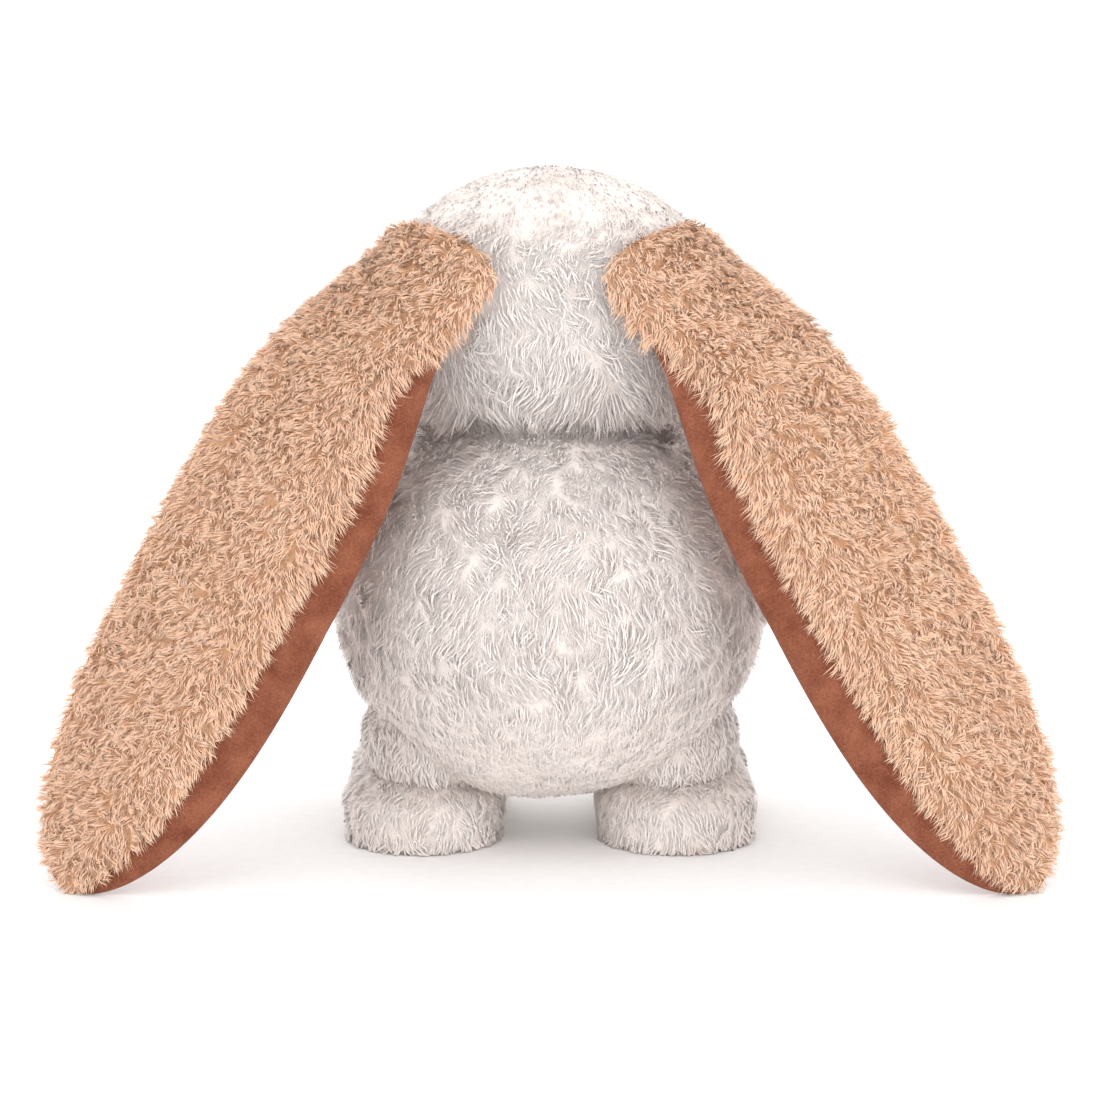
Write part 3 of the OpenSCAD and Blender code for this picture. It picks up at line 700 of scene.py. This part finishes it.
def head_grid(rows=52, cols=104):
    """Rays from the head's middle. Along each, the head's ellipsoid and the muzzle's ball are
    joined by a soft maximum, and rays that meet the neck's plane stop there."""
    q = np.linspace(-np.pi / 2 * 0.985, np.pi / 2 * 0.985, rows)[:, None]
    a = np.linspace(0, 2 * np.pi, cols, endpoint=False) + np.pi / 2
    ray = np.stack([np.cos(q) * np.cos(a), np.cos(q) * np.sin(a), np.sin(q) + 0 * a], -1)
    shell = 1 / np.linalg.norm(ray / (np.array([head_a, head_r, head_r]) - PILE), axis=-1)
    out = np.array([0, -MUZZLE_OUT, -MUZZLE_DROP])
    near = ray @ out
    inside = (MUZZLE_R - PILE + 1.5) ** 2 - (out @ out - near ** 2)
    ball = np.where(inside > 0, near + np.sqrt(np.maximum(inside, 0)), 0)
    soft = 3.0
    reach = soft * np.logaddexp(shell / soft, ball / soft)
    stop = (neck_z + 0.6 - head_z) / np.minimum(ray[..., 2], -1e-3)
    reach = np.where(ray[..., 2] < 0, np.minimum(reach, stop), reach)
    return np.array([0, 0, head_z]) + ray * reach[..., None]


eyes = [np.array(sum(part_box(f"eye_{side}"), Vector())) / 2 / MM for side in ("left", "right")]
nose = np.array(sum(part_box("nose"), Vector())) / 2 / MM
nose[1] = box_mm("nose")[0][1] + 5


def face_room(p):
    """0 at the eyes and the nose, 1 away from them."""
    near = np.min([np.linalg.norm(p - e, axis=1) - 11.5 for e in eyes]
                  + [np.linalg.norm((p - nose) * [0.8, 1, 1.1], axis=1) - 9.0], 0)
    return near


def head_amount(p, row, col):
    return np.where((p[:, 2] < neck_z + 1.5) | (face_room(p) < 0), 0.0,
                    1.0 + 1.2 * ease(1 - (p[:, 2] - neck_z) / 14))


def head_style(p, n, row, col):
    """Short and flat on the crown, long and tufted from the ears' height down, and short and combed
    away from the nose on the face. The crown and face get darker shades: painted shade against the
    strong light that falls there."""
    crown = ease((p[:, 2] - (head_z + 22)) / 30)
    front = ease((-p[:, 1] - 15) / 30)
    low = ease((head_z - 5 - p[:, 2]) / 30)
    back = np.array([0, 0.0, -1.0]) + 0 * n
    away = unit(p - nose - [0, 12, 0])
    comb = back * (1 - front)[:, None] + away * (front * 1.5)[:, None]
    comb = comb + np.cross(n, comb) * (0.6 * ripple(p, 45, 71) * (1 - crown) * (1 - front))[:, None]
    outward = unit(p * [1, 1, 0] + 1e-3)
    comb = comb + outward * (0.35 * low * (1 - front))[:, None]
    tuft = (1 - crown) * (1 - front)
    room = np.clip(face_room(p) / 12, 0, 1)
    length = 3.8 + 5.0 * tuft + 5.5 * low * (1 - front)
    return {"comb": comb, "length": length * (0.6 + 0.4 * room),
            "lean": 0.9 - 0.24 * tuft - 0.1 * low, "curl": 0.1 + 0.4 * tuft * (1 - 0.6 * low),
            "gather": 0.05 + 0.4 * tuft, "width": 0.66 + 0.12 * tuft, "crisp": 0.18,
            # painted shade: darker on the crown and face, where the lamps and the sky fall
            # strongest
            "shade": 0.75 - 0.62 * (1 - tuft) + 0.05 * ripple(p, 40, 72)}


head = head_grid()
held = np.zeros(head.shape[:2], bool)
held[head[..., 2] < neck_z + 2] = True
held[-1:] = True
head = finer(finer(stuffed(head, held, 1.0), 0, False), 1, True)
head[..., 2] = np.maximum(head[..., 2], neck_z + 0.6)
skin = closed_skin("head_skin", head, white_backing)
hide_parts("head_cover", "muzzle_cover", "head_filling")
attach(skin, "head")
fur("head_fur", "head", head, 8000, 54000, head_style, head_amount, white_pile,
    73, parts=2, per_tuft=7)


# ---- Ears ------------------------------------------------------------------------------

PLUSH_COLS, LINING_COLS = 22, 20
ROOT_SHIFT = 9.0   # how far the seam end reaches in over the back of the head
HUG_R = 60.0        # radius of the bend round the head
EAR_START = 0.08    # where the rounded seam end begins, as a share of the curve
EAR_ROWS = np.concatenate([np.full(5, EAR_START), np.linspace(EAR_START, 0.8, 50),
                           0.8 + 0.2 * np.sin(np.linspace(0, np.pi / 2 * 0.965, 15)[1:])])


def ear_line(t, lift):
    """A cubic curve from the seam on the head to the tip on the floor, led by two points, with
    the way along it, the way that the plush faces, and the way across."""
    t = t[:, None]
    u = 1 - t
    lead = ear_lead
    follow = np.array([body_r, body_r, body_z]) + EAR_FOLLOW
    end = np.array([body_r + EAR_TIP[0], EAR_TIP[1], lift])
    mid = u ** 3 * ear_root + 3 * u * u * t * lead + 3 * u * t * t * follow + t ** 3 * end
    along = unit(u * u * (lead - ear_root) + 2 * u * t * (follow - lead) + t * t * (end - follow))
    w = ease(2 * t)
    face = (1 - w) * np.array([0.55, 0.60, 0.58]) + w * np.array([0.30, 0.90, 0.25])
    face = unit(face - (face * along).sum(1, keepdims=True) * along)
    return mid, along, face, np.cross(along, face)


def ear_grid(lift):
    """Closed sections along the curve: x is the half width times the cosine round the section,
    and y the half thickness times the sine. Columns start at the outer seam, cross the plush
    to the inner seam and come back over the lining. The seam end and the tip are rounded, and
    near the head the sections bend round it, by the square of the width over a diameter."""
    cap = np.linspace(np.pi / 2 * 0.9, 0, 6)
    t = EAR_ROWS
    mid, along, face, across = ear_line(t, lift)
    mid[:5] -= along[:5] * (14.0 * np.sin(cap[:5]))[:, None]
    near = 1 - ease(t / 0.3)
    mid -= across * (ROOT_SHIFT * near)[:, None]
    shrink = np.concatenate([np.cos(cap[:5]) ** 0.7, np.ones(len(t) - 5)])
    over = np.clip((t - WIDEST_AT) / (1 - WIDEST_AT), 0, 1)
    swell = np.sin(np.pi / 2 * np.minimum(t / WIDEST_AT, 1)) ** 1.3
    half_w = (EAR_ROOT_W + (EAR_W - EAR_ROOT_W) * swell) / 2 * (1 - over ** 3.4) ** 0.53
    half_w = half_w + 5.0 * near
    thin = ease((t - FOLD_AT) / (1 - FOLD_AT))
    half_t = (EAR_ROOT_T + (EAR_T - EAR_ROOT_T) * ease(t / 0.4)) / 2 - 5.0 * thin
    half_t = half_t * np.sqrt(1 - over ** 9)
    seam = np.pi - np.radians(LINING_TURN) * ease((t - 0.16) / 0.18)
    seam -= np.radians(4) * ease((t - 0.5) / 0.25)
    f, g = np.arange(PLUSH_COLS) / PLUSH_COLS, np.arange(LINING_COLS) / LINING_COLS
    q = np.concatenate([seam[:, None] * f, seam[:, None] + (2 * np.pi - seam)[:, None] * g], 1)
    inset = np.concatenate([PILE * (1 - 0.8 * ease((f - 0.75) / 0.25)),
                            0.2 * PILE * (1 - ease(g / 0.15)) + PILE * ease((g - 0.8) / 0.2)])
    w = np.maximum(half_w[:, None] - np.minimum(inset, 0.7 * half_w[:, None]), 0.3)
    h = np.maximum(half_t[:, None] - np.minimum(inset, 0.6 * half_t[:, None]), 0.3)
    w, h = w * shrink[:, None], h * shrink[:, None]
    hug = (w * np.cos(q) - ROOT_SHIFT * near[:, None]) ** 2 / (2 * HUG_R)
    hug = hug * (1 - ease(t / 0.4))[:, None] + 3.0 * near[:, None]
    return (mid[:, None] + (w * np.cos(q))[..., None] * across[:, None]
            + (h * np.sin(q) - hug)[..., None] * face[:, None])


def ear_style_for(sign):
    """How one ear's pile lies: curly in the middle, and longer and combed outwards and down
    over its edges."""
    def style(p, n, row, col):
        home = p * [sign, 1, 1]
        s = 1 - 2 * (col if sign < 0 else 1 - col)          # 1 at the outer edge, -1 inside
        t = row_t[np.clip((row * (len(row_t) - 1)).astype(int), 0, len(row_t) - 1)]
        _, along, _, across = ear_line(t, ear_lift)
        along, across = along * [sign, 1, 1], across * [sign, 1, 1]
        edge = np.abs(s) ** 2.2
        comb = along + across * (np.where(s > 0, 0.5, -1.5) * edge)[:, None]
        comb = comb + 0.5 * ripple(home, 26, 82)[:, None] * (1 - edge)[:, None] * across
        near = ease(t / 0.12)
        inner = ease((-s - 0.5) / 0.5)
        reach = inner * near * (1 - 0.7 * ease((t - 0.45) / 0.3))
        return {"comb": comb, "length": 6.0 + 3.4 * reach,
                "lean": 0.55 + 0.12 * edge + 0.08 * inner, "curl": 0.85 - 0.6 * edge,
                "gather": 0.44 - 0.16 * edge * (1 - inner), "width": 0.74,
                "crisp": 0.2 + 0.8 * edge, "flat": 0.6,
                "shade": 0.55 + 0.14 * ripple(home, 30, 83) + 0.1 * edge}
    return style


ear_lift = -min(ear_grid(0.0)[..., 2].min(), 0)
ear = ear_grid(ear_lift) * [-1, 1, 1]
held = np.zeros(ear.shape[:2], bool)
held[:6] = held[-2:] = True
held[:, 0] = held[:, PLUSH_COLS] = True
ear = finer(finer(stuffed(ear, held, 3.5), 0, False), 1, True)
ear[..., 2] = np.maximum(ear[..., 2], 0.2)
row_t = np.repeat(EAR_ROWS, 2)[:-1]

for side, sign in SIDES:
    inward = normals(ear) * -1.2
    last = 2 * PLUSH_COLS
    wrapped = np.concatenate([ear, ear[:, :1]], 1)
    inner = wrapped + np.concatenate([inward, inward[:, :1]], 1)
    plush, lining = slice(0, last + 1), slice(last, None)
    name, far = f"ear_{side}", f"ear_{side}_end"
    fold = np.array(JOINTS["ear_left_fold"]["pos_m"]) / MM
    _, way, _, _ = ear_line(np.array([FOLD_AT]), ear_lift)
    start, end = (fold - FOLD_HALF * way[0]) * MM, (fold + FOLD_HALF * way[0]) * MM
    start, end = start * [sign, 1, 1], end * [sign, 1, 1]
    bend = (name, far, start.tolist(), end.tolist())
    flip = mirrored if sign > 0 else (lambda grid: grid)
    back = strip(f"ear_{side}_plush_skin", flip(wrapped[:, plush]), flip(inner[:, plush]),
                 tan_backing)
    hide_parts(f"ear_{side}_upper_plush", f"ear_{side}_lower_plush",
                f"ear_{side}_upper_wadding", f"ear_{side}_lower_wadding")
    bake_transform(back)
    face = strip(f"ear_{side}_lining", flip(wrapped[:, lining]), flip(inner[:, lining]),
                 rust_cloth)
    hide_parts(f"ear_{side}_upper_lining", f"ear_{side}_lower_lining")
    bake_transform(face)
    fur(f"ear_{side}_fur", name, flip(wrapped[:, plush]), 15000, 42000, ear_style_for(sign),
        lambda p, row, col: 1.0, tan_pile, 84 + (sign < 0), wrap=False,
        parts=2, per_tuft=5, bend=bend)


# ---- Studio ----------------------------------------------------------------------------

def studio():
    """A pale floor, a soft light above and behind the camera, a fill, and the camera."""
    floor_white, tree = new_material("matt_white_paper_floor")
    at = add(tree, "TexCoord")
    grain = add(tree, "TexNoise", {"Vector": at.outputs["Object"], "Scale": 180.0})
    tone = add(tree, "ValToRGB", {0: grain.outputs[0]}, stops=[(0.3, "#fbfbfb"), (0.7, "#ffffff")])
    finish_material(tree, tone.outputs[0], 1.0, specular=0.0)
    floor = mesh_object("floor", np.array([[-4, -4, 0], [4, -4, 0], [4, 4, 0], [-4, 4, 0]]) / MM,
                        [(0, 1, 2, 3)], floor_white)
    world = bpy.data.worlds.new("studio_white")
    bpy.context.scene.world = world
    world.use_nodes = True
    tree = world.node_tree
    sky = tree.nodes["Background"]
    sky.inputs[0].default_value = (1, 1, 1, 1)
    way = add(tree, "SeparateXYZ", {0: add(tree, "TexCoord").outputs["Generated"]})
    glow = add(tree, "MapRange", {0: way.outputs[2], 1: 0.0, 2: 1.0, 3: 2.1, 4: 0.7})
    tree.links.new(glow.outputs[0], sky.inputs[1])
    for name, at, aim, size, power in (
            ("key_softbox", (0.5, 1.2, 1.5), (0, 0, 0.15), 1.1, 2.8),
            ("fill_softbox", (-0.9, 1.1, 0.7), (0, 0, 0.15), 1.0, 3.0),
            ("front_softbox", (0.3, -1.3, 1.1), (0, 0, 0.15), 1.1, 4.5)):
        lamp = bpy.data.lights.new(name, "AREA")
        lamp.size, lamp.energy = size, power
        ob = bpy.data.objects.new(name, lamp)
        ob.location = at
        ob.rotation_euler = (Vector(aim) - Vector(at)).to_track_quat("-Z", "Y").to_euler()
        bpy.context.scene.collection.objects.link(ob)
    lens = bpy.data.cameras.new("camera")
    camera = bpy.data.objects.new("camera", lens)
    bpy.context.scene.collection.objects.link(camera)
    distance, rise, aim = 1.4, np.radians(9.5), Vector((0, 0, 0.129))
    height = 0.4825                      # how much of the aim's plane the view takes in
    lens.sensor_width = 36
    lens.lens = 36 * distance / height
    lens.clip_start, lens.clip_end = 0.05, 50
    camera.location = aim + distance * Vector((0, np.cos(rise), np.sin(rise)))
    camera.rotation_euler = (aim - camera.location).to_track_quat("-Z", "Y").to_euler()
    bpy.context.scene.camera = camera
    bpy.context.scene.view_settings.view_transform = "Standard"


studio()
